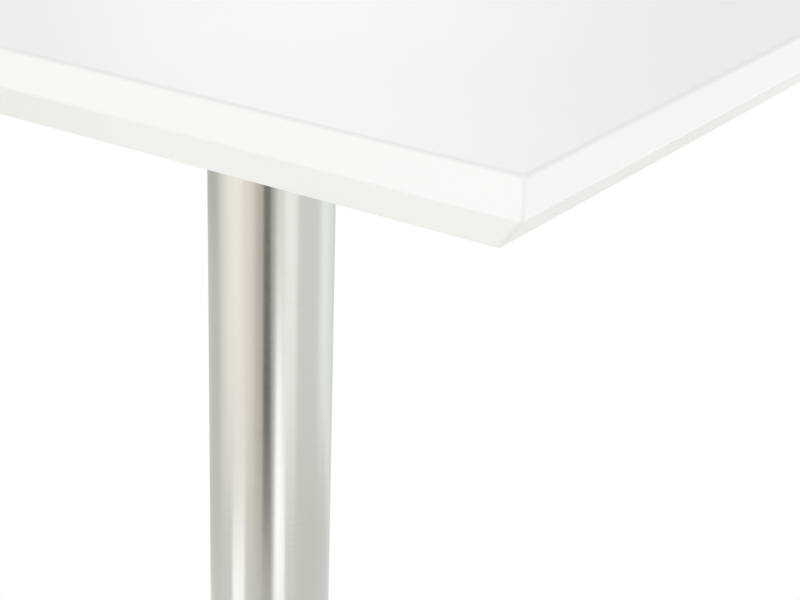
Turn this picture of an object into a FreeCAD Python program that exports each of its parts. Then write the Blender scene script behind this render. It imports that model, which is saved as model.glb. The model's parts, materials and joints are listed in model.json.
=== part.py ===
import FreeCAD, Part

import math
import os

V = FreeCAD.Vector
NEAR = 1e-6

# A square bar table: a bevelled white board on one round steel column, which a tie rod clamps
# between a mounting plate under the board and a domed round base on four levelling feet.
# Millimetres, +Z up, origin on the floor under the column's centre line.

# Overall
TABLE_HEIGHT = 1110.0

# Board
BOARD_SIDE = 600.0
BOARD_THICKNESS = 25.0
BOARD_UPRIGHT = 11.0
BOARD_BEVEL_INSET = 14.0
BOARD_TURN_RADIUS = 2.0
BOARD_CORNER_RADIUS = 0.7
BOARD_ARRIS_RADIUS = 0.5

# Column
COLUMN_DIAMETER = 57.0
COLUMN_WALL = 1.2
SLEEVE_CLEARANCE = 0.2

# Mounting plate under the board
PLATE_SIDE = 220.0
PLATE_THICKNESS = 4.0
PLATE_CORNER_RADIUS = 18.0
PLATE_HOLE_INSET = 18.0
SOCKET_WALL = 3.0
SOCKET_LENGTH = 40.0
SOCKET_LEAD = 1.5

# Board screws and the threaded inserts that they turn into
SCREW_DIAMETER = 6.0
SCREW_HEAD_DIAMETER = 10.0
SCREW_HEAD_HEIGHT = 6.0
SCREW_HEAD_CHAMFER = 0.6
SCREW_KEY_WIDTH = 5.0
SCREW_KEY_DEPTH = 3.0
SCREW_REACH = 11.0
SCREW_WASHER_DIAMETER = 16.0
SCREW_WASHER_THICKNESS = 1.6
INSERT_DIAMETER = 10.0
INSERT_LENGTH = 13.0
INSERT_RIM_DIAMETER = 13.0
INSERT_RIM_THICKNESS = 1.2

# Clearances and details that several fasteners share
HOLE_CLEARANCE = 0.3
THREAD_CLEARANCE = 0.08
SEAT_CLEARANCE = 0.05
BLIND_HOLE_ROOM = 0.5
THREAD_END_CHAMFER = 0.8

# Tie rod through the column, with a nut and a washer at each end
ROD_DIAMETER = 10.0
ROD_STICKOUT = 2.5
NUT_WIDTH = 17.0
NUT_HEIGHT = 8.0
NUT_CORNER_CHAMFER = 1.0
WASHER_DIAMETER = 24.0
WASHER_THICKNESS = 2.5
NUT_POCKET_ROOM = 4.0
NUT_POCKET_END_ROOM = 2.0

# Levelling feet, screwed fully in
FOOT_NAMES = ["rear_right", "rear_left", "front_left", "front_right"]
FOOT_INSET = 36.0
FOOT_TRAVEL = 6.25
PAD_DIAMETER = 30.0
PAD_HEIGHT = 7.5
PAD_SKIRT_HEIGHT = 3.0
PAD_NECK_DIAMETER = 16.0
PAD_FLOOR = 1.6
PAD_CHAMFER = 0.8
BUTTON_DIAMETER = 9.0
BUTTON_HEIGHT = 2.5
BUTTON_NECK_DIAMETER = 5.6
SWIVEL_CLEARANCE = 0.1
COLLAR_WIDTH = 13.0
COLLAR_HEIGHT = 4.0
COLLAR_GAP = 0.5
COLLAR_STOP_GAP = 0.1
STUD_DIAMETER = 8.0
STUD_GRIP = 5.75

# Base cover, a spun dome of sheet steel
BASE_DIAMETER = 450.0
COVER_SHEET = 1.0
COVER_RISE = 28.0
COVER_RIM_RADIUS = 8.0
COVER_LAND_MARGIN = 18.0
COVER_FLOOR_GAP = 4.0

# Edge trim, a channel pushed on the cover's lower edge
TRIM_WALL = 1.4
TRIM_HEIGHT = 6.0
TRIM_CLEARANCE = 0.1
TRIM_CHAMFER = 0.7

# Rosette round the foot of the column
ROSETTE_SETBACK = 5.0
ROSETTE_HEIGHT = 14.0
ROSETTE_LIP = 1.6
ROSETTE_STEP = 2.0

# Ballast, an iron casting that carries the cover, the column and the feet
CASTING_GAP = 0.6
CASTING_WALL = 7.0
CASTING_RIM_WIDTH = 11.0
CASTING_HUB_SETBACK = 5.0
CASTING_RIB_COUNT = 8
CASTING_RIB_WIDTH = 6.0
CASTING_RIB_RAISE = 3.0
CASTING_BOSS_DIAMETER = 25.0
CASTING_BOSS_CAP = 3.0

# Spigot, a ring in the casting's hub that centres the foot of the column
SPIGOT_SEAT = 4.0
SPIGOT_LENGTH = 24.0
SPIGOT_WALL = 6.0
SPIGOT_CHAMFER = 1.5

# Heights and radii that follow
BOARD_UNDERSIDE = TABLE_HEIGHT - BOARD_THICKNESS
BOARD_TURN = TABLE_HEIGHT - BOARD_UPRIGHT
PLATE_UNDERSIDE = BOARD_UNDERSIDE - PLATE_THICKNESS
PLATE_HOLE_OFFSET = PLATE_SIDE / 2 - PLATE_HOLE_INSET
COLUMN_RADIUS = COLUMN_DIAMETER / 2
COLUMN_BORE = COLUMN_RADIUS - COLUMN_WALL
SLEEVE_RADIUS = COLUMN_BORE - SLEEVE_CLEARANCE
ROD_RADIUS = ROD_DIAMETER / 2
ROD_HOLE = ROD_RADIUS + HOLE_CLEARANCE
NUT_STACK = WASHER_THICKNESS + NUT_HEIGHT
NUT_POCKET_RADIUS = WASHER_DIAMETER / 2 + NUT_POCKET_ROOM
NUT_POCKET_DEPTH = NUT_STACK + ROD_STICKOUT + NUT_POCKET_END_ROOM
BASE_RADIUS = BASE_DIAMETER / 2
LAND_RADIUS = COLUMN_RADIUS + COVER_LAND_MARGIN
FOOT_CIRCLE = BASE_RADIUS - FOOT_INSET
FIRST_FOOT_TURN = 180 / len(FOOT_NAMES)
BUTTON_LOW = PAD_FLOOR + SWIVEL_CLEARANCE
BUTTON_HIGH = BUTTON_LOW + BUTTON_HEIGHT
COLLAR_LOW = PAD_HEIGHT + COLLAR_GAP
COLLAR_HIGH = COLLAR_LOW + COLLAR_HEIGHT
BOSS_LOW = COLLAR_HIGH + COLLAR_STOP_GAP
STUD_TOP = BOSS_LOW + STUD_GRIP + FOOT_TRAVEL
STUD_HOLE_TOP = STUD_TOP + BLIND_HOLE_ROOM

# The dome is a spherical cap that falls from the land under the column to the edge of the base, and
# its shoulder is rounded into the upright rim
DOME_DROP = (BASE_RADIUS ** 2 - LAND_RADIUS ** 2 + COVER_RISE ** 2) / (2 * COVER_RISE)
DOME_RADIUS = math.hypot(DOME_DROP, LAND_RADIUS)
RIM_CENTRE = BASE_RADIUS - COVER_RIM_RADIUS
SHOULDER_LEAN = math.asin(RIM_CENTRE / (DOME_RADIUS - COVER_RIM_RADIUS))

# The casting falls in straight lines under those curves, and the base is as high as the feet's studs
# and the metal over them need
CASTING_OFFSET = COVER_SHEET + CASTING_GAP
CASTING_LAND = math.sqrt((DOME_RADIUS - CASTING_OFFSET) ** 2 - (DOME_DROP - CASTING_OFFSET) ** 2)
CASTING_SHOULDER = (DOME_RADIUS - CASTING_OFFSET) * math.sin(SHOULDER_LEAN)
CASTING_FALL = DOME_DROP - CASTING_OFFSET - (DOME_RADIUS - CASTING_OFFSET) * math.cos(SHOULDER_LEAN)
CASTING_SLOPE = CASTING_FALL / (CASTING_SHOULDER - CASTING_LAND)
FALL_AT_FEET = CASTING_SLOPE * (FOOT_CIRCLE - CASTING_LAND)
LAND_HEIGHT = STUD_HOLE_TOP + CASTING_BOSS_CAP + CASTING_OFFSET + FALL_AT_FEET
DOME_CENTRE = LAND_HEIGHT - DOME_DROP
RIM_TOP = DOME_CENTRE + (DOME_RADIUS - COVER_RIM_RADIUS) * math.cos(SHOULDER_LEAN)
CASTING_TOP = LAND_HEIGHT - CASTING_OFFSET
HUB_TOP = LAND_HEIGHT - COVER_SHEET
HUB_RADIUS = LAND_RADIUS - CASTING_HUB_SETBACK
TRIM_LOW = COVER_FLOOR_GAP - TRIM_CLEARANCE - TRIM_WALL
TRIM_HIGH = TRIM_LOW + TRIM_HEIGHT
CASTING_LOW = TRIM_HIGH + CASTING_GAP
HUB_LOW = CASTING_LOW + CASTING_RIB_RAISE
HUB_SEAT = HUB_LOW + NUT_POCKET_DEPTH
CASTING_RADIUS = BASE_RADIUS - CASTING_OFFSET
SPIGOT_LOW = HUB_TOP - SPIGOT_SEAT


class Outline:
    """A closed outline of radius and height, drawn from point to point and turned about the Z axis."""

    def __init__(self, radius, height):
        self.start = V(radius, 0, height)
        self.at = self.start
        self.edges = []

    def line(self, radius, height):
        """Draws straight to a point."""
        point = V(radius, 0, height)
        self.edges.append(Part.LineSegment(self.at, point).toShape())
        self.at = point

    def arc(self, centre, end, clockwise):
        """Draws round a centre to a point, both given as (radius, height)."""
        middle = V(centre[0], 0, centre[1])
        point = V(end[0], 0, end[1])
        size = (self.at - middle).Length
        first = math.atan2(self.at.z - middle.z, self.at.x - middle.x)
        last = math.atan2(point.z - middle.z, point.x - middle.x)
        if clockwise and last > first:
            last -= 2 * math.pi
        if not clockwise and last < first:
            last += 2 * math.pi
        half = (first + last) / 2
        through = middle + V(size * math.cos(half), 0, size * math.sin(half))
        self.edges.append(Part.Arc(self.at, through, point).toShape())
        self.at = point

    def turned(self):
        """Closes the outline and turns it into a solid."""
        if (self.at - self.start).Length > NEAR:
            self.line(self.start.x, self.start.z)
        face = Part.Face(Part.Wire(self.edges))
        solid = face.revolve(V(0, 0, 0), V(0, 0, 1), 360)
        return outward(solid)


def outward(solid):
    """A solid with its outside facing out."""
    if solid.Volume < 0:
        solid.reverse()
    return solid


def cylinder(radius, low, high):
    """A round bar on the Z axis."""
    return Part.makeCylinder(radius, high - low, V(0, 0, low))


def ring(outer, inner, low, high):
    """A round tube on the Z axis."""
    return cylinder(outer, low, high).cut(cylinder(inner, low, high))


def prism(points, low, high):
    """A flat outline of (x, y) points, pulled straight up."""
    corners = [V(x, y, low) for x, y in points]
    face = Part.Face(Part.makePolygon(corners + corners[:1]))
    return face.extrude(V(0, 0, high - low))


def hexagon(width, low, high):
    """A hexagonal bar on the Z axis, with its width across flats."""
    reach = width / math.sqrt(3)
    turns = [math.radians(60 * i) for i in range(6)]
    return prism([(reach * math.cos(a), reach * math.sin(a)) for a in turns], low, high)


def square(side, low, high):
    """A square block on the Z axis."""
    return Part.makeBox(side, side, high - low, V(-side / 2, -side / 2, low))


def moved(shape, x, y):
    """A copy of a shape, shifted level."""
    copy = shape.copy()
    copy.translate(V(x, y, 0))
    return copy


def board_screw_places():
    """The (x, y) places of the screws, near the corners of the mounting plate."""
    d = PLATE_HOLE_OFFSET
    return [(d, d), (-d, d), (-d, -d), (d, -d)]


def foot_places():
    """The feet's names and (x, y) places, on the diagonals of the board."""
    places = {}
    for i, name in enumerate(FOOT_NAMES):
        turn = math.radians(FIRST_FOOT_TURN + i * 360 / len(FOOT_NAMES))
        places[name] = (FOOT_CIRCLE * math.cos(turn), FOOT_CIRCLE * math.sin(turn))
    return places


def dome(offset, low, inner):
    """The solid under the dome, taken in by an offset, from a height up and round an inner radius."""
    size = DOME_RADIUS - offset
    shoulder = (size * math.sin(SHOULDER_LEAN), DOME_CENTRE + size * math.cos(SHOULDER_LEAN))
    top = LAND_HEIGHT - offset
    land = math.sqrt(size ** 2 - (top - DOME_CENTRE) ** 2)
    outline = Outline(inner, low)
    outline.line(BASE_RADIUS - offset, low)
    outline.line(BASE_RADIUS - offset, RIM_TOP)
    outline.arc((RIM_CENTRE, RIM_TOP), shoulder, clockwise=False)
    outline.arc((0.0, DOME_CENTRE), (land, top), clockwise=False)
    outline.line(inner, top)
    return outline.turned()


def board_bar():
    """A bar as long as the board is wide, with the board's edge profile on its two long sides."""
    half = BOARD_SIDE / 2
    waist = half - BOARD_BEVEL_INSET
    points = [(half, TABLE_HEIGHT), (half, BOARD_TURN), (waist, BOARD_UNDERSIDE)]
    points += [(-x, z) for x, z in reversed(points)]
    corners = [V(x, -half, z) for x, z in points]
    bar = Part.Face(Part.makePolygon(corners + corners[:1])).extrude(V(0, BOARD_SIDE, 0))
    turns = [e for e in bar.Edges if lies_at(e, BOARD_TURN)]
    return bar.makeFillet(BOARD_TURN_RADIUS, turns)


def lies_at(edge, height):
    """Whether both ends of an edge are at a height."""
    return all(abs(v.Z - height) < NEAR for v in edge.Vertexes)


def on_mitre(edge):
    """Whether an edge runs down a corner of the board, where two of its sides meet."""
    ends = edge.Vertexes
    level = abs(ends[0].Z - ends[-1].Z) < NEAR
    return not level and all(abs(abs(v.X) - abs(v.Y)) < NEAR for v in ends)


def tabletop():
    """The board: an upright edge that turns softly into a bevel, with eased corners and arrises."""
    along = board_bar()
    across = along.copy()
    across.rotate(V(0, 0, 0), V(0, 0, 1), 90)
    board = along.common(across).removeSplitter().Solids[0]
    board = board.makeFillet(BOARD_CORNER_RADIUS, [e for e in board.Edges if on_mitre(e)])
    rims = [e for e in board.Edges if lies_at(e, TABLE_HEIGHT) or lies_at(e, BOARD_UNDERSIDE)]
    board = board.makeFillet(BOARD_ARRIS_RADIUS, rims)
    pocket = cylinder(NUT_POCKET_RADIUS, BOARD_UNDERSIDE, BOARD_UNDERSIDE + NUT_POCKET_DEPTH)
    board = board.cut(pocket)
    deep = BOARD_UNDERSIDE + INSERT_LENGTH + BLIND_HOLE_ROOM
    hole = cylinder(INSERT_DIAMETER / 2 + SEAT_CLEARANCE, BOARD_UNDERSIDE, deep)
    sink = cylinder(INSERT_RIM_DIAMETER / 2 + SEAT_CLEARANCE, BOARD_UNDERSIDE,
                    BOARD_UNDERSIDE + INSERT_RIM_THICKNESS)
    for x, y in board_screw_places():
        board = board.cut(moved(hole.fuse(sink), x, y))
    return board


def board_inserts():
    """Flanged threaded sleeves, driven into the board's underside."""
    low = BOARD_UNDERSIDE
    bore = SCREW_DIAMETER / 2 + THREAD_CLEARANCE
    sleeve = Outline(bore, low)
    sleeve.line(INSERT_RIM_DIAMETER / 2, low)
    sleeve.line(INSERT_RIM_DIAMETER / 2, low + INSERT_RIM_THICKNESS)
    sleeve.line(INSERT_DIAMETER / 2, low + INSERT_RIM_THICKNESS)
    sleeve.line(INSERT_DIAMETER / 2, low + INSERT_LENGTH)
    sleeve.line(bore, low + INSERT_LENGTH)
    solid = sleeve.turned()
    return Part.makeCompound([moved(solid, x, y) for x, y in board_screw_places()])


def board_screws():
    """Round-headed screws with a hexagon socket, up through the plate into the inserts."""
    seat = PLATE_UNDERSIDE - SCREW_WASHER_THICKNESS
    head = SCREW_HEAD_DIAMETER / 2
    crown = seat - SCREW_HEAD_HEIGHT
    tip = BOARD_UNDERSIDE + SCREW_REACH
    outline = Outline(0, crown)
    outline.line(head - SCREW_HEAD_CHAMFER, crown)
    outline.line(head, crown + SCREW_HEAD_CHAMFER)
    outline.line(head, seat)
    outline.line(SCREW_DIAMETER / 2, seat)
    outline.line(SCREW_DIAMETER / 2, tip - THREAD_END_CHAMFER)
    outline.line(SCREW_DIAMETER / 2 - THREAD_END_CHAMFER, tip)
    outline.line(0, tip)
    screw = outline.turned().cut(hexagon(SCREW_KEY_WIDTH, crown, crown + SCREW_KEY_DEPTH))
    return Part.makeCompound([moved(screw, x, y) for x, y in board_screw_places()])


def board_screw_washers():
    """A flat washer under each screw's head."""
    washer = ring(SCREW_WASHER_DIAMETER / 2, SCREW_DIAMETER / 2 + HOLE_CLEARANCE,
                  PLATE_UNDERSIDE - SCREW_WASHER_THICKNESS, PLATE_UNDERSIDE)
    return Part.makeCompound([moved(washer, x, y) for x, y in board_screw_places()])


def mounting_plate():
    """A square plate with rounded corners, a screw hole in each, and a hole for the tie rod."""
    plate = square(PLATE_SIDE, PLATE_UNDERSIDE, BOARD_UNDERSIDE)
    corners = [e for e in plate.Edges if abs(e.tangentAt(e.FirstParameter).z) > 0.9]
    plate = plate.makeFillet(PLATE_CORNER_RADIUS, corners)
    hole = cylinder(SCREW_DIAMETER / 2 + HOLE_CLEARANCE, PLATE_UNDERSIDE, BOARD_UNDERSIDE)
    for x, y in board_screw_places():
        plate = plate.cut(moved(hole, x, y))
    return plate.cut(cylinder(ROD_HOLE, PLATE_UNDERSIDE, BOARD_UNDERSIDE))


def plate_socket():
    """A short tube under the plate, which centres the column's upper end."""
    low = PLATE_UNDERSIDE - SOCKET_LENGTH
    inner = SLEEVE_RADIUS - SOCKET_WALL
    outline = Outline(inner, PLATE_UNDERSIDE)
    outline.line(inner, low)
    outline.line(SLEEVE_RADIUS - SOCKET_LEAD, low)
    outline.line(SLEEVE_RADIUS, low + SOCKET_LEAD)
    outline.line(SLEEVE_RADIUS, PLATE_UNDERSIDE)
    return outline.turned()


def column_tube():
    """The column, from the land on the base cover to the underside of the mounting plate."""
    return ring(COLUMN_RADIUS, COLUMN_BORE, LAND_HEIGHT, PLATE_UNDERSIDE)


def tie_rod():
    """The rod that clamps base, column and plate together."""
    low = HUB_SEAT - NUT_STACK - ROD_STICKOUT
    high = BOARD_UNDERSIDE + NUT_STACK + ROD_STICKOUT
    radius = ROD_RADIUS
    end = radius - THREAD_END_CHAMFER
    outline = Outline(0, low)
    outline.line(end, low)
    outline.line(radius, low + THREAD_END_CHAMFER)
    outline.line(radius, high - THREAD_END_CHAMFER)
    outline.line(end, high)
    outline.line(0, high)
    return outline.turned()


def tie_rod_nuts():
    """A hexagon nut at each end of the rod, with its corners turned off at both faces."""
    reach = NUT_WIDTH / math.sqrt(3)
    slope = NUT_CORNER_CHAMFER * math.tan(math.radians(30))
    nuts = []
    for low in (HUB_SEAT - NUT_STACK, BOARD_UNDERSIDE + WASHER_THICKNESS):
        high = low + NUT_HEIGHT
        turned_off = Outline(0, low)
        turned_off.line(reach - NUT_CORNER_CHAMFER, low)
        turned_off.line(reach, low + slope)
        turned_off.line(reach, high - slope)
        turned_off.line(reach - NUT_CORNER_CHAMFER, high)
        turned_off.line(0, high)
        body = hexagon(NUT_WIDTH, low, high).common(turned_off.turned())
        nuts.append(body.cut(cylinder(ROD_RADIUS + THREAD_CLEARANCE, low, high)))
    return Part.makeCompound(nuts)


def tie_rod_washers():
    """A flat washer between each nut and what it clamps."""
    lows = (HUB_SEAT - WASHER_THICKNESS, BOARD_UNDERSIDE)
    washers = [ring(WASHER_DIAMETER / 2, ROD_HOLE, low, low + WASHER_THICKNESS) for low in lows]
    return Part.makeCompound(washers)


def base_cover():
    """The spun dome: an upright rim, a rounded shoulder and a level land with a hole for the spigot."""
    hole = SLEEVE_RADIUS + SEAT_CLEARANCE
    outside = dome(0.0, COVER_FLOOR_GAP, hole)
    return outside.cut(dome(COVER_SHEET, COVER_FLOOR_GAP - COVER_SHEET, hole - COVER_SHEET))


def base_edge_trim():
    """A soft channel pushed on the cover's lower edge, to spare the floor."""
    low = TRIM_LOW
    high = TRIM_HIGH
    slot_out = BASE_RADIUS + TRIM_CLEARANCE
    slot_in = BASE_RADIUS - COVER_SHEET - TRIM_CLEARANCE
    inner = slot_in - TRIM_WALL
    outer = slot_out + TRIM_WALL
    outline = Outline(inner, low)
    outline.line(outer - TRIM_CHAMFER, low)
    outline.line(outer, low + TRIM_CHAMFER)
    outline.line(outer, high - TRIM_CHAMFER)
    outline.line(outer - TRIM_CHAMFER, high)
    outline.line(slot_out, high)
    outline.line(slot_out, low + TRIM_WALL)
    outline.line(slot_in, low + TRIM_WALL)
    outline.line(slot_in, high)
    outline.line(inner, high)
    return outline.turned()


def column_rosette():
    """A turned ring with a hollow flank that hides the joint at the foot of the column."""
    inner = COLUMN_RADIUS + SLEEVE_CLEARANCE
    lip = inner + ROSETTE_LIP
    outer = LAND_RADIUS - ROSETTE_SETBACK
    low = LAND_HEIGHT
    step = low + ROSETTE_STEP
    high = low + ROSETTE_HEIGHT
    width = outer - lip
    height = high - step
    size = (width ** 2 + height ** 2) / (2 * width)
    outline = Outline(inner, low)
    outline.line(outer, low)
    outline.line(outer, step)
    outline.arc((lip + size, high), (lip, high), clockwise=True)
    outline.line(inner, high)
    return outline.turned()


def base_casting():
    """The ballast: a sloping wall under the cover, with a rim, radial ribs, a hub and foot bosses."""
    block = Outline(0.0, CASTING_LOW)
    block.line(CASTING_RADIUS, CASTING_LOW)
    block.line(CASTING_RADIUS, RIM_TOP)
    block.line(CASTING_SHOULDER, CASTING_TOP - CASTING_FALL)
    block.line(CASTING_LAND, CASTING_TOP)
    block.line(0.0, CASTING_TOP)
    whole = block.turned()
    rim_inner = CASTING_RADIUS - CASTING_RIM_WIDTH
    ceiling = CASTING_TOP - CASTING_WALL
    dish = Outline(0.0, CASTING_LOW)
    dish.line(rim_inner, CASTING_LOW)
    dish.line(rim_inner, ceiling - CASTING_SLOPE * (rim_inner - CASTING_LAND))
    dish.line(CASTING_LAND, ceiling)
    dish.line(0.0, ceiling)
    rib_length = rim_inner + CASTING_RIM_WIDTH / 2
    stiff = [cylinder(HUB_RADIUS, HUB_LOW, CASTING_TOP)]
    for i in range(CASTING_RIB_COUNT):
        rib = Part.makeBox(rib_length, CASTING_RIB_WIDTH, CASTING_TOP - HUB_LOW,
                           V(0, -CASTING_RIB_WIDTH / 2, HUB_LOW))
        rib.rotate(V(0, 0, 0), V(0, 0, 1), FIRST_FOOT_TURN + i * 360 / CASTING_RIB_COUNT)
        stiff.append(rib)
    boss = cylinder(CASTING_BOSS_DIAMETER / 2, BOSS_LOW, CASTING_TOP)
    stiff += [moved(boss, x, y) for x, y in foot_places().values()]
    frame = stiff[0].multiFuse(stiff[1:]).common(whole)
    casting = whole.cut(dish.turned()).fuse(frame)
    casting = casting.fuse(cylinder(HUB_RADIUS, CASTING_TOP, HUB_TOP))
    stud_hole = cylinder(STUD_DIAMETER / 2 + THREAD_CLEARANCE, BOSS_LOW, STUD_HOLE_TOP)
    holes = [
        cylinder(ROD_HOLE, HUB_LOW, HUB_TOP),
        cylinder(NUT_POCKET_RADIUS, HUB_LOW, HUB_SEAT),
        cylinder(SLEEVE_RADIUS + SEAT_CLEARANCE, SPIGOT_LOW, HUB_TOP),
    ]
    holes += [moved(stud_hole, x, y) for x, y in foot_places().values()]
    return casting.cut(holes).removeSplitter()


def column_spigot():
    """A ring let into the casting's hub, which stands up through the cover into the column."""
    high = LAND_HEIGHT + SPIGOT_LENGTH
    inner = SLEEVE_RADIUS - SPIGOT_WALL
    outline = Outline(inner, SPIGOT_LOW)
    outline.line(SLEEVE_RADIUS, SPIGOT_LOW)
    outline.line(SLEEVE_RADIUS, high - SPIGOT_CHAMFER)
    outline.line(SLEEVE_RADIUS - SPIGOT_CHAMFER, high)
    outline.line(inner, high)
    return outline.turned()


def foot_pad():
    """A moulded glide, flat on the floor, with a pocket that the stud's button turns in."""
    skirt = PAD_DIAMETER / 2
    pocket = BUTTON_DIAMETER / 2 + SWIVEL_CLEARANCE
    throat = BUTTON_NECK_DIAMETER / 2 + SWIVEL_CLEARANCE
    lip = BUTTON_HIGH + SWIVEL_CLEARANCE
    outline = Outline(0, 0)
    outline.line(skirt - PAD_CHAMFER, 0)
    outline.line(skirt, PAD_CHAMFER)
    outline.line(skirt, PAD_SKIRT_HEIGHT)
    outline.line(PAD_NECK_DIAMETER / 2, PAD_HEIGHT)
    outline.line(throat, PAD_HEIGHT)
    outline.line(throat, lip)
    outline.line(pocket, lip)
    outline.line(pocket, PAD_FLOOR)
    outline.line(0, PAD_FLOOR)
    return outline.turned()


def foot_stud():
    """A stud with a button that the pad holds, a hexagon collar and a plain shank for the thread."""
    button = BUTTON_DIAMETER / 2
    neck = BUTTON_NECK_DIAMETER / 2
    shank = STUD_DIAMETER / 2
    outline = Outline(0, BUTTON_LOW)
    outline.line(button, BUTTON_LOW)
    outline.line(button, BUTTON_HIGH)
    outline.line(neck, BUTTON_HIGH)
    outline.line(neck, COLLAR_LOW)
    outline.line(shank, COLLAR_LOW)
    outline.line(shank, STUD_TOP - THREAD_END_CHAMFER)
    outline.line(shank - THREAD_END_CHAMFER, STUD_TOP)
    outline.line(0, STUD_TOP)
    return outline.turned().fuse(hexagon(COLLAR_WIDTH, COLLAR_LOW, COLLAR_HIGH)).removeSplitter()


def pieces():
    """Every piece of the table by name."""
    made = {
        "tabletop": tabletop(),
        "board_inserts": board_inserts(),
        "board_screws": board_screws(),
        "board_screw_washers": board_screw_washers(),
        "mounting_plate": mounting_plate(),
        "plate_socket": plate_socket(),
        "column_tube": column_tube(),
        "column_rosette": column_rosette(),
        "tie_rod": tie_rod(),
        "tie_rod_nuts": tie_rod_nuts(),
        "tie_rod_washers": tie_rod_washers(),
        "base_cover": base_cover(),
        "base_edge_trim": base_edge_trim(),
        "base_casting": base_casting(),
        "column_spigot": column_spigot(),
    }
    for name, (x, y) in foot_places().items():
        made["foot_pad_" + name] = moved(foot_pad(), x, y)
        made["foot_stud_" + name] = moved(foot_stud(), x, y)
    return made


def main():
    os.makedirs("parts", exist_ok=True)
    for name, shape in pieces().items():
        shape.exportStep(os.path.join("parts", name + ".step"))
        count = len(shape.Solids)
        print(f"{name}: {count} solid, {shape.Volume / 1000:.1f} cm3, valid {shape.isValid()}")


main()
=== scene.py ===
import json
import math

import bmesh
import bpy
from mathutils import Matrix, Vector


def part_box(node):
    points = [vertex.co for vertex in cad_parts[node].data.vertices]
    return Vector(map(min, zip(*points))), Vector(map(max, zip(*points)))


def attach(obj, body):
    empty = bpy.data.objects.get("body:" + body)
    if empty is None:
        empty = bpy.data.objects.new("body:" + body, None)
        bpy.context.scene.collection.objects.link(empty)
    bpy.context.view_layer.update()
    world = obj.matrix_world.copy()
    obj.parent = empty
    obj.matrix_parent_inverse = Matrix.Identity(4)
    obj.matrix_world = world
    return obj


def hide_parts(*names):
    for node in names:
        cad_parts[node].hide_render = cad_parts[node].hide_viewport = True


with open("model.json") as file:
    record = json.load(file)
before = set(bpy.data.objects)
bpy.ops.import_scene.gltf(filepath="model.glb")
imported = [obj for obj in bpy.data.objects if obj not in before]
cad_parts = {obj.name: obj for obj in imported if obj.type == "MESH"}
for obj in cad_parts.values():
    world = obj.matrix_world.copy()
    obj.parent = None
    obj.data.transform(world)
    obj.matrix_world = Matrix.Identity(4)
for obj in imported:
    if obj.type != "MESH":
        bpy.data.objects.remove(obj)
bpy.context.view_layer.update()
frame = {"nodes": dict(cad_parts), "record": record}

# Millimetres as metres
MM = 0.001
# Length of one wave of a wave texture at a scale of 1
WAVE = 2 * math.pi / 20
# Edges that turn by more than this look sharp
SHARP_ANGLE = math.radians(30)


def linear(colour):
    """An sRGB hex colour as linear red, green, blue and alpha."""
    parts = [int(colour[i:i + 2], 16) / 255 for i in (1, 3, 5)]
    parts = [c / 12.92 if c <= 0.04045 else ((c + 0.055) / 1.055) ** 2.4 for c in parts]
    return (*parts, 1.0)


def add(tree, kind, inputs=None, stops=None, **settings):
    """Adds a node with its settings; an input takes a value, or a link where it is given a socket.

    Stops are the positions and colours of a colour ramp.
    """
    node = tree.nodes.new(kind)
    for name, value in settings.items():
        setattr(node, name, value)
    for name, value in (inputs or {}).items():
        if isinstance(value, bpy.types.NodeSocket):
            tree.links.new(value, node.inputs[name])
        else:
            node.inputs[name].default_value = value
    if stops:
        elements = node.color_ramp.elements
        while len(elements) < len(stops):
            elements.new(1.0)
        for element, (position, colour) in zip(elements, stops):
            element.position = position
            element.color = linear(colour)
    return node


def material(name):
    """A new material with an empty node tree."""
    made = bpy.data.materials.new(name)
    made.use_nodes = True
    made.node_tree.nodes.clear()
    return made, made.node_tree


def mesh_piece(name, body, made):
    """Turns a finished mesh into an object of the scene, with a material."""
    mesh = bpy.data.meshes.new(name)
    body.to_mesh(mesh)
    body.free()
    mesh.materials.append(made)
    piece = bpy.data.objects.new(name, mesh)
    bpy.context.scene.collection.objects.link(piece)
    return piece


# Finishes

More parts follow.
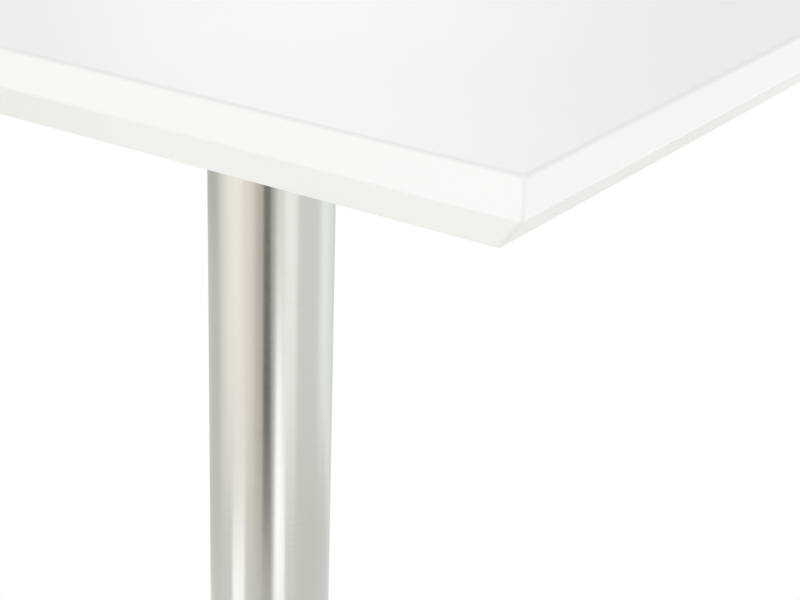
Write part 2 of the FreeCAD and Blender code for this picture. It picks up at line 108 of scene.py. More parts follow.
def sprayed_white_lacquer():
    """White gloss lacquer sprayed on fibreboard and polished."""
    # A clean white with a soft gloss and a faint ripple left by the spray; painted shade greys a hairline
    # along the arrises, standing in for the darker surroundings that their rounding reflects.
    made, tree = material("white_gloss_lacquer_sprayed")
    low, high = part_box("tabletop")
    half = high.x
    at = add(tree, "ShaderNodeTexCoord").outputs["Object"]
    # Spray ripple, 2.5 mm from crest to crest
    ripple = add(tree, "ShaderNodeTexNoise", {"Vector": at, "Scale": 1 / (2.5 * MM), "Detail": 1.0})
    # Slow unevenness in the coat, a hand's width across
    cloud = add(tree, "ShaderNodeTexNoise", {"Vector": at, "Scale": 1 / (90 * MM), "Detail": 2.0})
    sides = add(tree, "ShaderNodeVectorMath", {0: at}, operation="ABSOLUTE")
    part = add(tree, "ShaderNodeSeparateXYZ", {0: sides.outputs[0]})
    outer = add(tree, "ShaderNodeMath", {0: part.outputs[0], 1: part.outputs[1]}, operation="MAXIMUM")
    inner = add(tree, "ShaderNodeMath", {0: part.outputs[0], 1: part.outputs[1]}, operation="MINIMUM")
    # The painted shade hairline of the upper arris, on the upright and on the upper face
    at_side = add(tree, "ShaderNodeMapRange", {
        "Value": outer.outputs[0], "From Min": half - 1.8 * MM, "From Max": half - 0.1 * MM})
    at_top = add(tree, "ShaderNodeMapRange", {
        "Value": part.outputs[2], "From Min": high.z - 1.1 * MM, "From Max": high.z - 0.1 * MM})
    arris = add(tree, "ShaderNodeMath", {0: at_side.outputs[0], 1: at_top.outputs[0]}, operation="MULTIPLY")
    # The painted shade hairline down the upright corner and along the bevel's mitre, wider below the
    # turn
    apart = add(tree, "ShaderNodeMath", {0: outer.outputs[0], 1: inner.outputs[0]}, operation="SUBTRACT")
    reach = add(tree, "ShaderNodeMapRange", {
        "Value": part.outputs[2], "From Min": high.z - 7 * MM, "From Max": high.z - 13 * MM,
        "To Min": 0.85 * MM, "To Max": 1.3 * MM})
    mitre = add(tree, "ShaderNodeMapRange", {
        "Value": apart.outputs[0], "From Min": reach.outputs[0], "From Max": 0.1 * MM})
    # It stops just short of the upper face and of the underside
    below = add(tree, "ShaderNodeMapRange", {
        "Value": part.outputs[2], "From Min": high.z - 0.2 * MM, "From Max": high.z - 0.4 * MM})
    above = add(tree, "ShaderNodeMapRange", {
        "Value": part.outputs[2], "From Min": low.z + 0.1 * MM, "From Max": low.z + 0.3 * MM})
    between = add(tree, "ShaderNodeMath", {0: below.outputs[0], 1: above.outputs[0]}, operation="MULTIPLY")
    corner = add(tree, "ShaderNodeMath", {0: mitre.outputs[0], 1: between.outputs[0]}, operation="MULTIPLY")
    thin = add(tree, "ShaderNodeMath", {0: arris.outputs[0], 1: corner.outputs[0]}, operation="MAXIMUM")
    white = add(tree, "ShaderNodeValToRGB", {"Fac": cloud.outputs[0]},
                stops=[(0.3, "#F6F6F4"), (0.7, "#F8F8F7")])
    # Painted shade: along the hairlines the white is greyed to #EBEBE8
    hairline_shaded_white = add(tree, "ShaderNodeMix", {
        "Factor": thin.outputs[0], "A": white.outputs[0], "B": linear("#EBEBE8")}, data_type="RGBA")
    gloss = add(tree, "ShaderNodeMapRange", {
        "Value": cloud.outputs[0], "From Min": 0.3, "From Max": 0.7, "To Min": 0.12, "To Max": 0.15})
    bump = add(tree, "ShaderNodeBump", {
        "Height": ripple.outputs[0], "Strength": 0.25, "Distance": 0.006 * MM})
    shader = add(tree, "ShaderNodeBsdfPrincipled", {
        "Base Color": hairline_shaded_white.outputs["Result"], "Roughness": gloss.outputs[0], "IOR": 1.5,
        "Normal": bump.outputs[0]})
    add(tree, "ShaderNodeOutputMaterial", {"Surface": shader.outputs[0]})
    return made


def brushed_stainless_steel():
    """Stainless steel, brushed round the column and spun on the base."""
    # A satin grey metal: grit lines run round the axis, so reflections smear along the column and stay
    # narrow across it.
    made, tree = material("stainless_steel_brushed")
    at = add(tree, "ShaderNodeTexCoord").outputs["Object"]
    flat = add(tree, "ShaderNodeVectorMath", {0: at, 1: (1.0, 1.0, 0.0)}, operation="MULTIPLY")
    radius = add(tree, "ShaderNodeVectorMath", {0: flat.outputs[0]}, operation="LENGTH")
    spoke = add(tree, "ShaderNodeVectorMath", {0: flat.outputs[0]}, operation="NORMALIZE")
    height = add(tree, "ShaderNodeSeparateXYZ", {0: at})
    across = add(tree, "ShaderNodeMath", {
        0: radius.outputs["Value"], 1: height.outputs[2]}, operation="ADD")
    # Grit lines are about 0.1 mm apart; they are drawn 0.5 mm apart, so that they show
    line = add(tree, "ShaderNodeMath", {0: across.outputs[0], 1: 1 / (0.5 * MM)}, operation="MULTIPLY")
    # Each line runs for about a third of a radian, which is 9 mm on the column
    along = add(tree, "ShaderNodeVectorMath", {
        0: spoke.outputs[0], 1: (3.0, 3.0, 0.0)}, operation="MULTIPLY")
    stack = add(tree, "ShaderNodeCombineXYZ", {"Z": line.outputs[0]})
    place = add(tree, "ShaderNodeVectorMath", {0: along.outputs[0], 1: stack.outputs[0]})
    grit = add(tree, "ShaderNodeTexNoise", {"Vector": place.outputs[0], "Scale": 1.0, "Detail": 3.0})
    # Handling leaves patches some 60 mm across a shade duller
    cloud = add(tree, "ShaderNodeTexNoise", {"Vector": at, "Scale": 1 / (60 * MM), "Detail": 2.0})
    tone = add(tree, "ShaderNodeValToRGB", {"Fac": grit.outputs[0]},
               stops=[(0.3, "#D9D9D7"), (0.7, "#DCDCDA")])
    mixed = add(tree, "ShaderNodeMath", {0: grit.outputs[0], 1: cloud.outputs[0]}, operation="ADD")
    rough = add(tree, "ShaderNodeMapRange", {
        "Value": mixed.outputs[0], "From Min": 0.6, "From Max": 1.4, "To Min": 0.19, "To Max": 0.23})
    bump = add(tree, "ShaderNodeBump", {
        "Height": grit.outputs[0], "Strength": 0.05, "Distance": 0.002 * MM})
    round_axis = add(tree, "ShaderNodeTangent", direction_type="RADIAL", axis="Z")
    shader = add(tree, "ShaderNodeBsdfPrincipled", {
        "Base Color": tone.outputs[0], "Metallic": 1.0, "Roughness": rough.outputs[0], "Anisotropic": 0.65,
        "Anisotropic Rotation": 0.25, "Tangent": round_axis.outputs[0], "Normal": bump.outputs[0]})
    add(tree, "ShaderNodeOutputMaterial", {"Surface": shader.outputs[0]})
    return made


def black_powder_coat():
    """Black polyester powder coat, baked on steel plate."""
    # A near-black skin with a fine even pebble that breaks up the highlight.
    made, tree = material("black_powder_coat_baked")
    at = add(tree, "ShaderNodeTexCoord").outputs["Object"]
    # Pebble of 0.5 mm, drawn at 1 mm so that it shows
    pebble = add(tree, "ShaderNodeTexNoise", {"Vector": at, "Scale": 1 / (1.0 * MM), "Detail": 2.0})
    tone = add(tree, "ShaderNodeValToRGB", {"Fac": pebble.outputs[0]},
               stops=[(0.35, "#1A1A1B"), (0.7, "#242425")])
    bump = add(tree, "ShaderNodeBump", {
        "Height": pebble.outputs[0], "Strength": 0.5, "Distance": 0.05 * MM})
    shader = add(tree, "ShaderNodeBsdfPrincipled", {
        "Base Color": tone.outputs[0], "Roughness": 0.45, "IOR": 1.5, "Normal": bump.outputs[0]})
    add(tree, "ShaderNodeOutputMaterial", {"Surface": shader.outputs[0]})
    return made


def bright_zinc_plate():
    """Zinc plate on turned and rolled steel, with a clear blue passivation."""
    # A bluish silver with faint straw clouds and fine turning marks.
    made, tree = material("zinc_plated_steel_passivated")
    at = add(tree, "ShaderNodeTexCoord").outputs["Object"]
    # Clouds some 6 mm across in the passivation
    cloud = add(tree, "ShaderNodeTexNoise", {"Vector": at, "Scale": 1 / (6 * MM), "Detail": 2.0})
    tone = add(tree, "ShaderNodeValToRGB", {"Fac": cloud.outputs[0]},
               stops=[(0.3, "#C3CAD2"), (0.55, "#CDD0D1"), (0.75, "#D3CDB8")])
    rough = add(tree, "ShaderNodeMapRange", {
        "Value": cloud.outputs[0], "From Min": 0.3, "From Max": 0.7, "To Min": 0.24, "To Max": 0.36})
    # Turning marks, 0.2 mm apart, drawn 0.6 mm apart so that they show
    mark = add(tree, "ShaderNodeTexWave", {
        "Vector": at, "Scale": WAVE / (0.6 * MM), "Distortion": 0.5}, bands_direction="Z")
    bump = add(tree, "ShaderNodeBump", {
        "Height": mark.outputs["Fac"], "Strength": 0.1, "Distance": 0.01 * MM})
    shader = add(tree, "ShaderNodeBsdfPrincipled", {
        "Base Color": tone.outputs[0], "Metallic": 1.0, "Roughness": rough.outputs[0],
        "Normal": bump.outputs[0]})
    add(tree, "ShaderNodeOutputMaterial", {"Surface": shader.outputs[0]})
    return made


def turned_brass():
    """Brass, turned from bar."""
    # A warm yellow metal with fine rings from the tool.
    made, tree = material("brass_turned")
    at = add(tree, "ShaderNodeTexCoord").outputs["Object"]
    # Stains some 4 mm across
    stain = add(tree, "ShaderNodeTexNoise", {"Vector": at, "Scale": 1 / (4 * MM), "Detail": 2.0})
    tone = add(tree, "ShaderNodeValToRGB", {"Fac": stain.outputs[0]},
               stops=[(0.3, "#C9A860"), (0.7, "#DBC07F")])
    rough = add(tree, "ShaderNodeMapRange", {
        "Value": stain.outputs[0], "From Min": 0.3, "From Max": 0.7, "To Min": 0.34, "To Max": 0.26})
    # Tool rings, 0.2 mm apart, drawn 0.6 mm apart so that they show
    mark = add(tree, "ShaderNodeTexWave", {
        "Vector": at, "Scale": WAVE / (0.6 * MM), "Distortion": 0.3}, bands_direction="Z")
    bump = add(tree, "ShaderNodeBump", {
        "Height": mark.outputs["Fac"], "Strength": 0.15, "Distance": 0.01 * MM})
    shader = add(tree, "ShaderNodeBsdfPrincipled", {
        "Base Color": tone.outputs[0], "Metallic": 1.0, "Roughness": rough.outputs[0],
        "Normal": bump.outputs[0]})
    add(tree, "ShaderNodeOutputMaterial", {"Surface": shader.outputs[0]})
    return made


def black_soft_vinyl():
    """Soft black vinyl, extruded."""
    # A dark rubbery strip with a dull sheen and faint die lines along it.
    made, tree = material("black_vinyl_extruded")
    at = add(tree, "ShaderNodeTexCoord").outputs["Object"]
    # Dust in patches some 3 mm across
    dust = add(tree, "ShaderNodeTexNoise", {"Vector": at, "Scale": 1 / (3 * MM), "Detail": 3.0})
    tone = add(tree, "ShaderNodeValToRGB", {"Fac": dust.outputs[0]},
               stops=[(0.35, "#161616"), (0.75, "#232322")])
    rough = add(tree, "ShaderNodeMapRange", {
        "Value": dust.outputs[0], "From Min": 0.3, "From Max": 0.7, "To Min": 0.5, "To Max": 0.62})
    # Die lines, 0.7 mm apart
    line = add(tree, "ShaderNodeTexWave", {"Vector": at, "Scale": WAVE / (0.7 * MM)}, bands_direction="Z")
    bump = add(tree, "ShaderNodeBump", {
        "Height": line.outputs["Fac"], "Strength": 0.2, "Distance": 0.03 * MM})
    shader = add(tree, "ShaderNodeBsdfPrincipled", {
        "Base Color": tone.outputs[0], "Roughness": rough.outputs[0], "IOR": 1.53,
        "Normal": bump.outputs[0]})
    add(tree, "ShaderNodeOutputMaterial", {"Surface": shader.outputs[0]})
    return made


def black_cast_iron():
    """Grey iron, sand-cast and dipped black."""
    # A coarse sandy skin under thin dull paint, a little browner on the high grains.
    made, tree = material("cast_iron_sand_cast_black")
    at = add(tree, "ShaderNodeTexCoord").outputs["Object"]
    # Sand grains of about 1 mm, drawn at 1.6 mm so that they show
    sand = add(tree, "ShaderNodeTexNoise", {"Vector": at, "Scale": 1 / (1.6 * MM), "Detail": 3.0})
    # Unevenness of the mould, some 25 mm across
    flow = add(tree, "ShaderNodeTexNoise", {"Vector": at, "Scale": 1 / (25 * MM), "Detail": 2.0})
    height = add(tree, "ShaderNodeMath", {0: sand.outputs[0], 1: flow.outputs[0]}, operation="ADD")
    tone = add(tree, "ShaderNodeValToRGB", {"Fac": sand.outputs[0]},
               stops=[(0.35, "#191919"), (0.75, "#2D2B29")])
    bump = add(tree, "ShaderNodeBump", {
        "Height": height.outputs[0], "Strength": 0.6, "Distance": 0.25 * MM})
    shader = add(tree, "ShaderNodeBsdfPrincipled", {
        "Base Color": tone.outputs[0], "Roughness": 0.62, "IOR": 1.5, "Normal": bump.outputs[0]})
    add(tree, "ShaderNodeOutputMaterial", {"Surface": shader.outputs[0]})
    return made


def black_moulded_nylon():
    """Black nylon, injection-moulded."""
    # A deep black with the fine grain of a spark-eroded mould.
    made, tree = material("black_nylon_moulded")
    at = add(tree, "ShaderNodeTexCoord").outputs["Object"]
    # Grain of 0.2 mm, drawn at 0.6 mm so that it shows
    grain = add(tree, "ShaderNodeTexNoise", {"Vector": at, "Scale": 1 / (0.6 * MM), "Detail": 2.0})
    tone = add(tree, "ShaderNodeValToRGB", {"Fac": grain.outputs[0]},
               stops=[(0.35, "#171717"), (0.7, "#212121")])
    bump = add(tree, "ShaderNodeBump", {
        "Height": grain.outputs[0], "Strength": 0.3, "Distance": 0.03 * MM})
    shader = add(tree, "ShaderNodeBsdfPrincipled", {
        "Base Color": tone.outputs[0], "Roughness": 0.42, "IOR": 1.53, "Normal": bump.outputs[0]})
    add(tree, "ShaderNodeOutputMaterial", {"Surface": shader.outputs[0]})
    return made


FINISHES = {
    "white_lacquer": sprayed_white_lacquer(),
    "brushed_stainless": brushed_stainless_steel(),
    "black_powder_coat": black_powder_coat(),
    "zinc_plated_steel": bright_zinc_plate(),
    "brass": turned_brass(),
    "black_vinyl": black_soft_vinyl(),
    "black_cast_iron": black_cast_iron(),
    "black_nylon": black_moulded_nylon(),
}
SLOT_OF = {part["node"]: part["material_slot"] for part in frame["record"]["subparts"]}

for node, piece in frame["nodes"].items():
    piece.data.materials.clear()
    piece.data.materials.append(FINISHES[SLOT_OF[node]])


# Pieces that the scene makes finer than the solids

BODY_OF = {node: body for body, nodes in frame["record"]["behaviour"]["bodies"].items() for node in nodes}


def ring(body, centre, spots):
    """A ring of points round an upright axis, in equal steps, each with its own (radius, height)."""
    points = []
    for i, (radius, height) in enumerate(spots):
        turn = 2 * math.pi * i / len(spots)
        x, y = centre.x + radius * math.cos(turn), centre.y + radius * math.sin(turn)
        points.append(body.verts.new((x, y, height)))
    return points


def skin(body, rings, lift=0):
    """Faces from each ring to the next; a thread comes back to its start so many rings higher."""
    for j in range(len(rings) - 1 - lift):
        for i in range(len(rings[j])):
            k = (i + 1) % len(rings[j])
            up = j + lift if k == 0 else j
            body.faces.new((rings[j][i], rings[up][k], rings[up + 1][k], rings[j + 1][i]))


def stand_in(name, body, node):
    """Makes a mesh into a finished piece that takes a node's place and moves as it does."""
    bmesh.ops.recalc_face_normals(body, faces=body.faces)
    for face in body.faces:
        face.smooth = True
    piece = mesh_piece(name, body, FINISHES[SLOT_OF[node]])
    piece.data.set_sharp_from_angle(angle=SHARP_ANGLE)
    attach(piece, BODY_OF[node])
    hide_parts(node)


def turned_piece(name, outline, segments, node):
    """A piece turned round the Z axis from a closed outline of (radius, height), in place of a node."""
    body = bmesh.new()
    rings = [ring(body, Vector(), [spot] * segments) for spot in outline]
    skin(body, rings + rings[:1])
    stand_in(name, body, node)


def arc(centre, start, end, steps):
    """Points of (radius, height) round a centre, the shorter way from a start up to an end."""
    size = math.dist(centre, start)
    first = math.atan2(start[1] - centre[1], start[0] - centre[0])
    last = math.atan2(end[1] - centre[1], end[0] - centre[0])
    sweep = (last - first + math.pi) % (2 * math.pi) - math.pi
    turns = [first + sweep * i / steps for i in range(steps + 1)]
    return [(centre[0] + size * math.cos(a), centre[1] + size * math.sin(a)) for a in turns]


COLUMN_WALL = 1.2 * MM
COLUMN_END_EASE = 0.2 * MM
COLUMN_SEGMENTS = 256


def column():
    """The column tube, with both cut ends eased."""
    low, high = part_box("column_tube")
    outside = max(high.x, high.y)
    inside = outside - COLUMN_WALL
    eased = outside - COLUMN_END_EASE
    outline = [
        (inside, low.z), (eased, low.z), (outside, low.z + COLUMN_END_EASE),
        (outside, high.z - COLUMN_END_EASE), (eased, high.z), (inside, high.z),
    ]
    turned_piece("column", outline, COLUMN_SEGMENTS, "column_tube")


COVER_SHEET = 1.0 * MM
# How far the dome rises from the outside of the rim to the level land, before the shoulder is rounded
COVER_RISE = 28.0 * MM
COVER_SHOULDER = 8.0 * MM
# Width of the level land outside the rosette
COVER_LAND = 5.0 * MM
COVER_HOLE_CLEARANCE = 0.05 * MM
COVER_SHOULDER_STEPS = 12
COVER_DOME_STEPS = 24
COVER_SEGMENTS = 256


def cover():
    """The spun dome of the base, a sheet with an upright rim, a rounded shoulder and a level land."""
    low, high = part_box("base_cover")
    outside = high.x
    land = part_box("column_rosette")[1].x + COVER_LAND
    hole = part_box("column_spigot")[1].x + COVER_HOLE_CLEARANCE
    drop = (outside ** 2 - land ** 2 + COVER_RISE ** 2) / (2 * COVER_RISE)
    centre = (0.0, high.z - drop)
    size = math.hypot(drop, land)
    rim = outside - COVER_SHOULDER
    lean = math.asin(rim / (size - COVER_SHOULDER))
    turn = (rim, centre[1] + (size - COVER_SHOULDER) * math.cos(lean))
    outline = []
    for inset in (0.0, COVER_SHEET):
        crown = size - inset
        meet = (crown * math.sin(lean), centre[1] + crown * math.cos(lean))
        top = high.z - inset
        edge = (math.sqrt(crown ** 2 - (top - centre[1]) ** 2), top)
        side = [(outside - inset, low.z)]
        side += arc(turn, (outside - inset, turn[1]), meet, COVER_SHOULDER_STEPS)
        side += arc(centre, meet, edge, COVER_DOME_STEPS)[1:]
        side += [(hole, top)]
        outline += side if inset == 0.0 else side[::-1]
    turned_piece("cover", outline, COVER_SEGMENTS, "base_cover")


ROSETTE_CLEARANCE = 0.2 * MM
ROSETTE_LIP = 1.6 * MM
ROSETTE_STEP = 2.0 * MM
ROSETTE_FLANK_STEPS = 16
ROSETTE_SEGMENTS = 192


def rosette():
    """The turned ring at the foot of the column, with a hollow flank under a thin lip."""
    low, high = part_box("column_rosette")
    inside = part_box("column_tube")[1].x + ROSETTE_CLEARANCE
    lip, step = inside + ROSETTE_LIP, low.z + ROSETTE_STEP
    width, height = high.x - lip, high.z - step
    size = (width ** 2 + height ** 2) / (2 * width)
    outline = [(inside, low.z), (high.x, low.z)]
    outline += arc((lip + size, high.z), (high.x, step), (lip, high.z), ROSETTE_FLANK_STEPS)
    outline += [(inside, high.z)]
    turned_piece("rosette", outline, ROSETTE_SEGMENTS, "column_rosette")


# A coarse metric thread's outline: shares of the pitch where root and crest begin and end
THREAD_STEPS = [(0.0, 0.0), (0.25, 0.0), (0.5625, 1.0), (0.6875, 1.0)]
# Depth of the thread for a pitch of 1
THREAD_DEPTH = 0.6134
THREAD_END_CHAMFER = 0.8 * MM
# Whole turns that are drawn before the low level, and held to it
THREAD_LEAD = 2
# Points that lie nearer than this are one
WELD = 0.001 * MM


def thread(body, centre, size, pitch, low, high, end, segments):
    """A thread from a low to a high level, chamfered at the level given as its end, run out at the other."""
    root = size - THREAD_DEPTH * pitch
    turns = math.ceil((high - low) / pitch) + THREAD_LEAD + 1
    rings = []
    for row in range(turns * len(THREAD_STEPS)):
        lap, step = divmod(row, len(THREAD_STEPS))
        share, rise = THREAD_STEPS[step]
        spots = []
        for i in range(segments):
            level = low + pitch * (lap - THREAD_LEAD + share + i / segments)
            run_out = min(abs(level - (low + high - end)) / pitch, 1.0)
            radius = root + (size - root) * rise * run_out if low < level < high else root
            level = min(max(level, low), high)
            spots.append((min(radius, size - THREAD_END_CHAMFER + abs(level - end)), level))
        rings.append(ring(body, centre, spots))
    skin(body, rings, len(THREAD_STEPS))
    return root


def closed(body):
    """Welds the points that lie together, and closes the open ends."""
    bmesh.ops.remove_doubles(body, verts=body.verts, dist=WELD)
    bmesh.ops.holes_fill(body, edges=body.edges, sides=0)


STUD_RADIUS = 4.0 * MM
STUD_PITCH = 1.25 * MM
STUD_BUTTON = 4.5 * MM
STUD_BUTTON_HEIGHT = 2.5 * MM
STUD_BUTTON_EASE = 0.3 * MM
STUD_NECK = 2.8 * MM
# Gap between the pad and the collar
STUD_GAP = 0.5 * MM
STUD_COLLAR_HEIGHT = 4.0 * MM
# Radius of the collar's round face for a width of 1 across its flats, and slope of its turned-off corners
STUD_FACE_SHARE = 0.48
STUD_CORNER_SLOPE = math.tan(math.radians(30))
STUD_SEGMENTS = 36


def foot_stud(foot):
    """A stud: a button in the pad, a neck, a hexagon collar with its corners turned off, and a thread."""
    node = "foot_stud_" + foot
    low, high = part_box(node)
    centre = (low + high) / 2
    button_high = low.z + STUD_BUTTON_HEIGHT
    button_face = STUD_BUTTON - STUD_BUTTON_EASE
    collar_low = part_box("foot_pad_" + foot)[1].z + STUD_GAP
    collar_high = collar_low + STUD_COLLAR_HEIGHT
    flats = high.y - low.y
    face = STUD_FACE_SHARE * flats
    body = bmesh.new()
    root = thread(body, centre, STUD_RADIUS, STUD_PITCH, collar_high, high.z, high.z, STUD_SEGMENTS)
    sixth = math.pi / 3
    turns = [2 * math.pi * i / STUD_SEGMENTS for i in range(STUD_SEGMENTS)]
    reaches = [flats / 2 / math.cos(turn % sixth - sixth / 2) for turn in turns]
    falls = [(reach - face) * STUD_CORNER_SLOPE for reach in reaches]
    lower = [
        (button_face, low.z), (STUD_BUTTON, low.z + STUD_BUTTON_EASE),
        (STUD_BUTTON, button_high - STUD_BUTTON_EASE), (button_face, button_high),
        (STUD_NECK, button_high), (STUD_NECK, collar_low), (face, collar_low),
    ]
    rings = [ring(body, centre, [spot] * STUD_SEGMENTS) for spot in lower]
    rings.append(ring(body, centre, [(r, collar_low + fall) for r, fall in zip(reaches, falls)]))
    rings.append(ring(body, centre, [(r, collar_high - fall) for r, fall in zip(reaches, falls)]))
    upper = [(face, collar_high), (root, collar_high)]
    rings += [ring(body, centre, [spot] * STUD_SEGMENTS) for spot in upper]
    skin(body, rings)
    closed(body)
    stand_in("stud_" + foot, body, node)


ROD_PITCH = 1.5 * MM
ROD_THREAD_LENGTH = 30.0 * MM
ROD_SEGMENTS = 32


def clamping_rod():
    """The tie rod: a plain shank with a thread rolled on each end, as long as the nuts need."""
    low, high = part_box("tie_rod")
    size = high.x
    lower, upper = low.z + ROD_THREAD_LENGTH, high.z - ROD_THREAD_LENGTH
    body = bmesh.new()
    thread(body, Vector(), size, ROD_PITCH, low.z, lower, low.z, ROD_SEGMENTS)
    root = thread(body, Vector(), size, ROD_PITCH, upper, high.z, high.z, ROD_SEGMENTS)
    step = size - root
    shank = [(root, lower), (size, lower + step), (size, upper - step), (root, upper)]
    skin(body, [ring(body, Vector(), [spot] * ROD_SEGMENTS) for spot in shank])
    closed(body)
    stand_in("rod", body, "tie_rod")


column()
cover()
rosette()
for foot in ("rear_right", "rear_left", "front_left", "front_right"):
    foot_stud(foot)
clamping_rod()


# Stage, light and camera

# Strength of the sky that lights the table; the sky that is seen is white
SKY_LIGHT = 0.86
# The floor keeps its own tone out to the first distance from the middle, and is white from the second
FLOOR_FADE = (0.45, 1.1)
FLOOR_RADIUS = 6.0
FLOOR_SEGMENTS = 128


def seen_directly(tree):
    """One for rays from the camera, from gloss and through glass, and nought for those that carry light."""
    ray = add(tree, "ShaderNodeLightPath")
    seen = add(tree, "ShaderNodeMath", {
        0: ray.outputs["Is Camera Ray"], 1: ray.outputs["Is Glossy Ray"]}, operation="MAXIMUM")
    seen = add(tree, "ShaderNodeMath", {
        0: seen.outputs[0], 1: ray.outputs["Is Transmission Ray"]}, operation="MAXIMUM")
    return seen.outputs[0]


def surroundings():
    """White all round for the camera and for reflections, soft white light for everything else."""
    world = bpy.data.worlds.new("white_studio")
    bpy.context.scene.world = world
    world.use_nodes = True
    tree = world.node_tree
    tree.nodes.clear()
    seen = seen_directly(tree)
    soft = add(tree, "ShaderNodeBackground", {"Color": linear("#FFFFFF"), "Strength": SKY_LIGHT})
    white = add(tree, "ShaderNodeBackground", {"Color": linear("#FFFFFF"), "Strength": 1.0})
    both = add(tree, "ShaderNodeMixShader", {0: seen, 1: soft.outputs[0], 2: white.outputs[0]})
    add(tree, "ShaderNodeOutputWorld", {"Surface": both.outputs[0]})
    # Light is taken as each ray meets the sky, so that each kind of ray finds its own sky
    world.cycles.sampling_method = "NONE"


def floor():
    """A pale floor that keeps the shadow near the table and runs out to white."""
    made, tree = material("pale_studio_floor")
    at = add(tree, "ShaderNodeTexCoord").outputs["Object"]
    away = add(tree, "ShaderNodeVectorMath", {0: at}, operation="LENGTH")
    near, far = FLOOR_FADE
    fade = add(tree, "ShaderNodeMapRange", {
        "Value": away.outputs["Value"], "From Min": near, "From Max": far}, interpolation_type="SMOOTHSTEP")
    seen = seen_directly(tree)
    share = add(tree, "ShaderNodeMath", {0: seen, 1: fade.outputs[0]}, operation="MULTIPLY")
    paint = add(tree, "ShaderNodeBsdfDiffuse", {"Color": linear("#F9F9F6")})
    white = add(tree, "ShaderNodeEmission", {"Color": linear("#FFFFFF"), "Strength": 1.0})
    both = add(tree, "ShaderNodeMixShader", {0: share.outputs[0], 1: paint.outputs[0], 2: white.outputs[0]})
    add(tree, "ShaderNodeOutputMaterial", {"Surface": both.outputs[0]})
    made.cycles.emission_sampling = "NONE"
    body = bmesh.new()
    bmesh.ops.create_circle(body, cap_ends=True, segments=FLOOR_SEGMENTS, radius=FLOOR_RADIUS)
    piece = mesh_piece("floor", body, made)


# The camera stands on the side of the near corner of the board
CAMERA_AT = Vector((0.506301, -0.661762, 1.256184))
CAMERA_YAW = math.radians(-33.396)
CAMERA_PITCH = math.radians(23.057)
CAMERA_ROLL = math.radians(-1.880)
CAMERA_CLIP_START = 0.01
FOCAL_PIXELS = 1989.5
IMAGE_WIDTH = 800.0
SENSOR_WIDTH = 36.0
# Directions round the column, towards the camera and away from it
FRONT = math.atan2(CAMERA_AT.y, CAMERA_AT.x)
BACK = math.atan2(-CAMERA_AT.y, -CAMERA_AT.x)


def camera():
    """The camera, at the angle from which the near corner of the board and the column show."""
    data = bpy.data.cameras.new("camera")
    data.sensor_fit = "HORIZONTAL"
    data.sensor_width = SENSOR_WIDTH
    data.lens = FOCAL_PIXELS * SENSOR_WIDTH / IMAGE_WIDTH
    data.clip_start = CAMERA_CLIP_START
    piece = bpy.data.objects.new("camera", data)
    bpy.context.scene.collection.objects.link(piece)
    forward = Vector((
        math.cos(CAMERA_PITCH) * math.sin(CAMERA_YAW),
        math.cos(CAMERA_PITCH) * math.cos(CAMERA_YAW),
        -math.sin(CAMERA_PITCH)))
    level = Vector((math.cos(CAMERA_YAW), -math.sin(CAMERA_YAW), 0.0))
    plumb = forward.cross(level)
    right = math.cos(CAMERA_ROLL) * level + math.sin(CAMERA_ROLL) * plumb
    down = -math.sin(CAMERA_ROLL) * level + math.cos(CAMERA_ROLL) * plumb
    turn = Matrix((right, -down, -forward)).transposed()
    piece.matrix_world = Matrix.Translation(CAMERA_AT) @ turn.to_4x4()
    bpy.context.scene.camera = piece


# Reflection cards that stand round the table, seen only in glossy surfaces: from and to in degrees round
# the column, counted from the camera's side, then colour, how far to each side of the card's end its colour
# and the next one run into each other, and lower edge in metres
CARDS = [
    (-180, -109, "#AAAAA4", 13, 0.49),
    (-109, -88, "#D4D1CB", 8, 0.16),
    (-88, -74, "#E6E2D9", 5, 0.19),
    (-74, -52, "#E9E5DB", 8, 0.25),
    (-52, -30, "#DAD3C7", 8, 0.17),
    (-30, -14.3, "#B4ACA1", 1, 0.14),
    (-14.3, -1.8, "#64625D", 0, 0.31),
    (-1.8, 7, "#A3A29D", 3, 0.14),
    (7, 22, "#C6C6BF", 6, 0.38),
    (22, 47, "#EAE9E5", 5, 0.19),
    (47, 98, "#CACBC6", 9, 0.20),
    (98, 124, "#E0E5E1", 7, 0.23),
    (124, 145, "#D3D8D4", 7, 0.16),
    (145, 180, "#C6C5C1", 0, 0.0),
]
CARD_TOP = 1.05
CARD_GLOW = 1.43
CARD_DISTANCE = 1.2
# Degrees of a curved card between two of its upright edges
CARD_STEP = 5
# Smaller cards just before those: from and to in degrees, colour, brightness, lower and upper edge in metres
LOW_CARDS = [
    (-77, -50, "#FFFFFF", 2.3, 0.0, 0.09),
    (-14.3, -1.8, "#FFFBF2", 2.7, 0.0, 0.07),
    (-14.3, 0.7, "#050505", 1.43, 0.07, 0.34),
    (5.5, 29, "#FFFFFF", 1.6, 0.0, 0.12),
    (8.0, 26, "#FFFFFF", 1.6, 0.12, 0.24),
    (9.5, 20, "#FFFFFF", 1.65, 0.24, 0.38),
]
LOW_CARD_DISTANCE = 1.19
# A grey drop behind the cards shows under them
DROP_COLOUR = "#BABAB4"
DROP_DISTANCE = 1.25
# Sheets that lie on the floor from near the base out to the cards, a grey one all round with strips on it:
# from and to in degrees, colour, brightness, and how high each lies in metres
SHEETS = [
    (-180, 180, "#BABAB4", 1.5, 0.001),
    (-76, -48, "#FFFFFF", 1.3, 0.002),
    (-14.3, -1.8, "#8C8A85", 1.0, 0.002),
    (7, 28, "#FFFFFF", 1.05, 0.002),
]
SHEET_START = 0.85
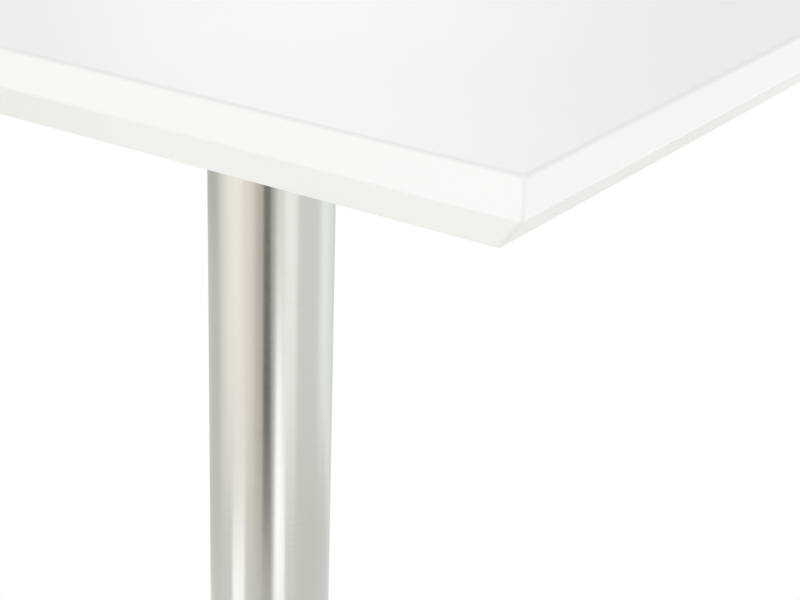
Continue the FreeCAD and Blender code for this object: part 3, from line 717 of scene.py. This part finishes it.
# A tall drop far off, which the gloss of the board's upper face shows: degrees round the column, counted
# from the side away from the camera, with a bright stretch between two duller ones
FAR_DROP = [
    (-30, "#EBEBEB"), (-17, "#D3D3D3"), (-1, "#FCFCFC"), (3, "#F8F8F8"), (9, "#D6DCD9"), (30, "#E0E4E2"),
]
FAR_DROP_EDGES = (1.15, 4.5)
FAR_DROP_DISTANCE = 3.0
FAR_DROP_GLOW = 1.2


def plain_glow(name, colour, strength):
    """One even colour of light all over a card."""
    made, tree = material(name)
    glow = add(tree, "ShaderNodeEmission", {"Color": linear(colour), "Strength": strength})
    add(tree, "ShaderNodeOutputMaterial", {"Surface": glow.outputs[0]})
    return made


def graded_glow(name, facing, stops, strength):
    """Light that changes softly round the column: colours at degrees, counted from the side that it faces."""
    made, tree = material(name)
    at = add(tree, "ShaderNodeTexCoord").outputs["Object"]
    turned = add(tree, "ShaderNodeVectorRotate", {"Vector": at, "Angle": -facing}, rotation_type="Z_AXIS")
    part = add(tree, "ShaderNodeSeparateXYZ", {0: turned.outputs[0]})
    angle = add(tree, "ShaderNodeMath", {0: part.outputs[1], 1: part.outputs[0]}, operation="ARCTAN2")
    first, last = stops[0][0], stops[-1][0]
    share = add(tree, "ShaderNodeMapRange", {
        "Value": angle.outputs[0], "From Min": math.radians(first), "From Max": math.radians(last)})
    places = [((degrees - first) / (last - first), colour) for degrees, colour in stops]
    tone = add(tree, "ShaderNodeValToRGB", {"Fac": share.outputs[0]}, stops=places)
    tone.color_ramp.interpolation = "EASE"
    glow = add(tree, "ShaderNodeEmission", {"Color": tone.outputs[0], "Strength": strength})
    add(tree, "ShaderNodeOutputMaterial", {"Surface": glow.outputs[0]})
    return made


def reflection_card(name, made, span, near, far):
    """A curved card round the table, its lower edge at the near distance and its upper edge at the far one.

    It stands where the two distances are the same, and lies where the two heights are.
    """
    first, last, low, high = span
    made.cycles.emission_sampling = "NONE"
    body = bmesh.new()
    steps = max(1, round((last - first) / CARD_STEP))
    posts = []
    for i in range(steps + 1):
        turn = FRONT + math.radians(first + (last - first) * i / steps)
        x, y = math.cos(turn), math.sin(turn)
        posts.append((body.verts.new((near * x, near * y, low)), body.verts.new((far * x, far * y, high))))
    for (a, b), (c, d) in zip(posts, posts[1:]):
        body.faces.new((a, c, d, b))
    piece = mesh_piece(name, body, made)
    piece.visible_camera = False
    piece.visible_diffuse = False
    piece.visible_transmission = False
    piece.visible_shadow = False


def standing_cards():
    """The row of cards round the table, each with its colour run into its neighbours'."""
    for count, (first, last, colour, soft, low) in enumerate(CARDS):
        _, _, colour_before, soft_before, _ = CARDS[count - 1]
        _, _, colour_after, _, _ = CARDS[(count + 1) % len(CARDS)]
        stops = [
            (first - soft_before, colour_before), (first + soft_before, colour),
            (last - soft, colour), (last + soft, colour_after),
        ]
        name = f"studio_card_{count}"
        glow = graded_glow(name, FRONT, stops, CARD_GLOW)
        reflection_card(name, glow, (first, last, low, CARD_TOP), CARD_DISTANCE, CARD_DISTANCE)


def low_cards():
    """Cards at the foot of the row."""
    for count, (first, last, colour, strength, low, high) in enumerate(LOW_CARDS):
        name = f"studio_low_card_{count}"
        glow = plain_glow(name, colour, strength)
        reflection_card(name, glow, (first, last, low, high), LOW_CARD_DISTANCE, LOW_CARD_DISTANCE)


def floor_sheets():
    """Sheets that lie between the base and the cards."""
    for count, (first, last, colour, strength, level) in enumerate(SHEETS):
        name = f"studio_sheet_{count}"
        glow = plain_glow(name, colour, strength)
        reflection_card(name, glow, (first, last, level, level), SHEET_START, CARD_DISTANCE)


def drops():
    """The grey drop behind the cards, and the tall drop far off, each all round."""
    glow = plain_glow("studio_drop", DROP_COLOUR, CARD_GLOW)
    reflection_card("studio_drop", glow, (-180, 180, 0.0, CARD_TOP), DROP_DISTANCE, DROP_DISTANCE)
    glow = graded_glow("studio_far_drop", BACK, FAR_DROP, FAR_DROP_GLOW)
    span = (-180, 180, *FAR_DROP_EDGES)
    reflection_card("studio_far_drop", glow, span, FAR_DROP_DISTANCE, FAR_DROP_DISTANCE)


# Soft boxes: name, place, the point that each faces, side in metres, and power in watts
LAMPS = [
    ("key_softbox", (-1.1, -0.4, 1.8), (0.0, 0.0, 1.1), 1.0, 2.0),
    ("front_fill", (1.6, -1.75, 1.3), (0.0, 0.0, 1.05), 1.2, 7.8),
]


def lamp(name, at, target, size, power):
    """A square soft box that faces a point."""
    data = bpy.data.lights.new(name, "AREA")
    data.shape = "SQUARE"
    data.size = size
    data.energy = power
    piece = bpy.data.objects.new(name, data)
    bpy.context.scene.collection.objects.link(piece)
    piece.location = at
    piece.rotation_euler = (Vector(target) - Vector(at)).to_track_quat("-Z", "Y").to_euler()
    piece.visible_camera = False
    piece.visible_glossy = False


surroundings()
floor()
camera()
standing_cards()
low_cards()
floor_sheets()
drops()
for softbox in LAMPS:
    lamp(*softbox)
bpy.context.scene.view_settings.view_transform = "Standard"
